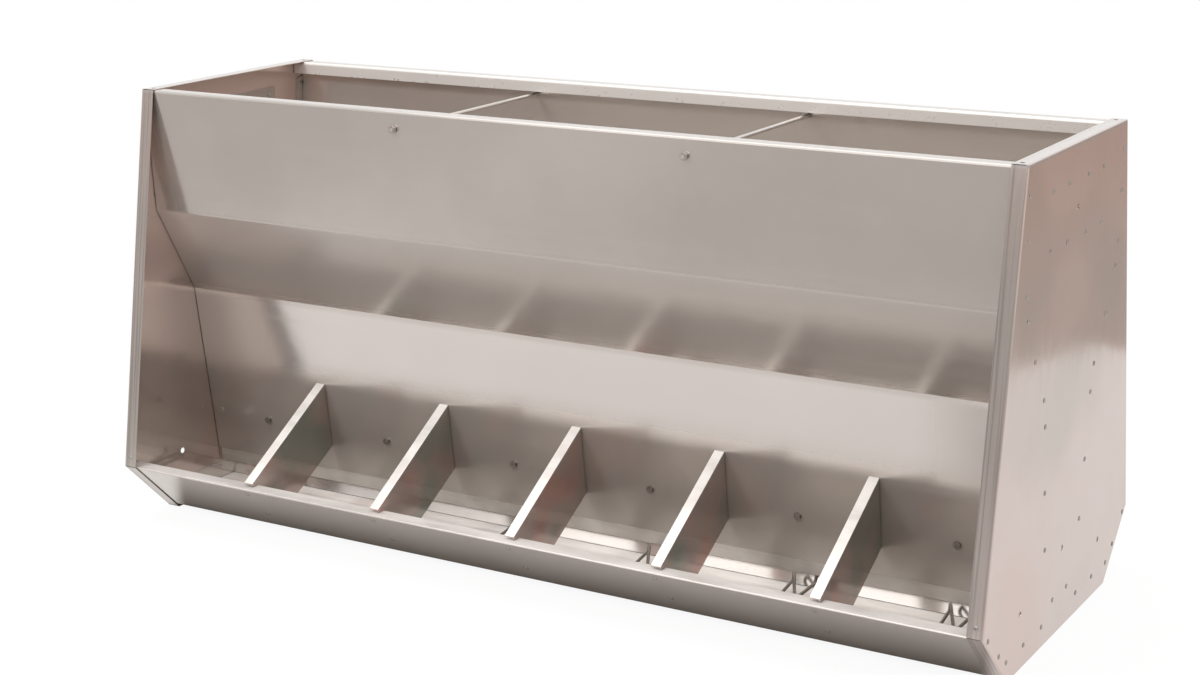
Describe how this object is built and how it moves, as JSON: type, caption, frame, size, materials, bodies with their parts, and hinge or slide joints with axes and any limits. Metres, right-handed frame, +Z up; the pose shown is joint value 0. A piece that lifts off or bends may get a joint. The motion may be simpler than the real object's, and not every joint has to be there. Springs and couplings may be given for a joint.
{
  "type": "wet-dry feeder",
  "caption": "Double-sided stainless livestock feeder: open hopper over a trough, divided feeding spaces, sliding feed gates and swinging wire agitators.",
  "frame": {"origin": "centre of the footprint, on the surface that the feeder stands on", "axes": "+X along the trough, +Y across it from the pictured side to the other one, +Z up"},
  "size_m": [1.832, 0.751, 0.869],
  "materials": {
    "stainless_end": "mill-finished stainless sheet, faintly brushed",
    "stainless_lift_plate": "mill-finished stainless plate",
    "stainless_hopper": "mill-finished stainless sheet, faintly brushed",
    "stainless_trough": "mill-finished stainless sheet, polished by use on the floor",
    "stainless_divider": "mill-finished stainless sheet",
    "stainless_gate": "mill-finished stainless sheet, streaked along its length",
    "bright_rod": "drawn stainless bar",
    "zinc_fixing": "bright zinc-plated steel",
    "dark_wire": "dull drawn steel wire"
  },
  "bodies": {
    "feeder": {"end_panel_left": "stainless_end", "end_panel_right": "stainless_end", "lift_plate_left": "stainless_lift_plate", "lift_plate_right": "stainless_lift_plate", "hopper_panel_front": "stainless_hopper", "hopper_panel_back": "stainless_hopper", "trough_pan": "stainless_trough", "feed_splitter": "stainless_trough", "divider_front_1": "stainless_divider", "divider_front_2": "stainless_divider", "divider_front_3": "stainless_divider", "divider_front_4": "stainless_divider", "divider_front_5": "stainless_divider", "divider_back_1": "stainless_divider", "divider_back_2": "stainless_divider", "divider_back_3": "stainless_divider", "divider_back_4": "stainless_divider", "divider_back_5": "stainless_divider", "cross_rod_1": "bright_rod", "cross_rod_2": "bright_rod", "agitator_shaft": "bright_rod", "shaft_collar_left": "bright_rod", "shaft_collar_right": "bright_rod", "gate_bolt_front_1": "zinc_fixing", "gate_bolt_front_2": "zinc_fixing", "gate_bolt_front_3": "zinc_fixing", "gate_bolt_front_4": "zinc_fixing", "gate_bolt_front_5": "zinc_fixing", "gate_bolt_front_6": "zinc_fixing", "gate_bolt_back_1": "zinc_fixing", "gate_bolt_back_2": "zinc_fixing", "gate_bolt_back_3": "zinc_fixing", "gate_bolt_back_4": "zinc_fixing", "gate_bolt_back_5": "zinc_fixing", "gate_bolt_back_6": "zinc_fixing", "gate_nut_front_1": "zinc_fixing", "gate_nut_front_2": "zinc_fixing", "gate_nut_front_3": "zinc_fixing", "gate_nut_front_4": "zinc_fixing", "gate_nut_front_5": "zinc_fixing", "gate_nut_front_6": "zinc_fixing", "gate_nut_back_1": "zinc_fixing", "gate_nut_back_2": "zinc_fixing", "gate_nut_back_3": "zinc_fixing", "gate_nut_back_4": "zinc_fixing", "gate_nut_back_5": "zinc_fixing", "gate_nut_back_6": "zinc_fixing", "rod_nut_front_1": "zinc_fixing", "rod_nut_front_2": "zinc_fixing", "rod_nut_back_1": "zinc_fixing", "rod_nut_back_2": "zinc_fixing"},
    "feed_gate_front_body": {"feed_gate_front": "stainless_gate"},
    "feed_gate_back_body": {"feed_gate_back": "stainless_gate"},
    "agitator_1_body": {"agitator_1": "dark_wire"},
    "agitator_2_body": {"agitator_2": "dark_wire"},
    "agitator_3_body": {"agitator_3": "dark_wire"},
    "agitator_4_body": {"agitator_4": "dark_wire"},
    "agitator_5_body": {"agitator_5": "dark_wire"},
    "agitator_6_body": {"agitator_6": "dark_wire"}
  },
  "joints": [
    {"name": "feed_gate_front_slide", "type": "slide", "parent": "feeder", "child": "feed_gate_front_body", "axis": [0, -0.1305, 0.9915], "range_m": [0, 0.03]},
    {"name": "feed_gate_back_slide", "type": "slide", "parent": "feeder", "child": "feed_gate_back_body", "axis": [0, 0.1305, 0.9915], "range_m": [0, 0.03]},
    {"name": "agitator_1_swing", "type": "hinge", "parent": "feeder", "child": "agitator_1_body", "pos_m": [-0.762, 0, 0.155], "axis": [1, 0, 0], "range_deg": [-2.5, 2.5]},
    {"name": "agitator_2_swing", "type": "hinge", "parent": "feeder", "child": "agitator_2_body", "pos_m": [-0.4572, 0, 0.155], "axis": [1, 0, 0], "range_deg": [-2.5, 2.5]},
    {"name": "agitator_3_swing", "type": "hinge", "parent": "feeder", "child": "agitator_3_body", "pos_m": [-0.1524, 0, 0.155], "axis": [1, 0, 0], "range_deg": [-2.5, 2.5]},
    {"name": "agitator_4_swing", "type": "hinge", "parent": "feeder", "child": "agitator_4_body", "pos_m": [0.1524, 0, 0.155], "axis": [1, 0, 0], "range_deg": [-2.5, 2.5]},
    {"name": "agitator_5_swing", "type": "hinge", "parent": "feeder", "child": "agitator_5_body", "pos_m": [0.4572, 0, 0.155], "axis": [1, 0, 0], "range_deg": [-2.5, 2.5]},
    {"name": "agitator_6_swing", "type": "hinge", "parent": "feeder", "child": "agitator_6_body", "pos_m": [0.762, 0, 0.155], "axis": [1, 0, 0], "range_deg": [-2.5, 2.5]}
  ]
}
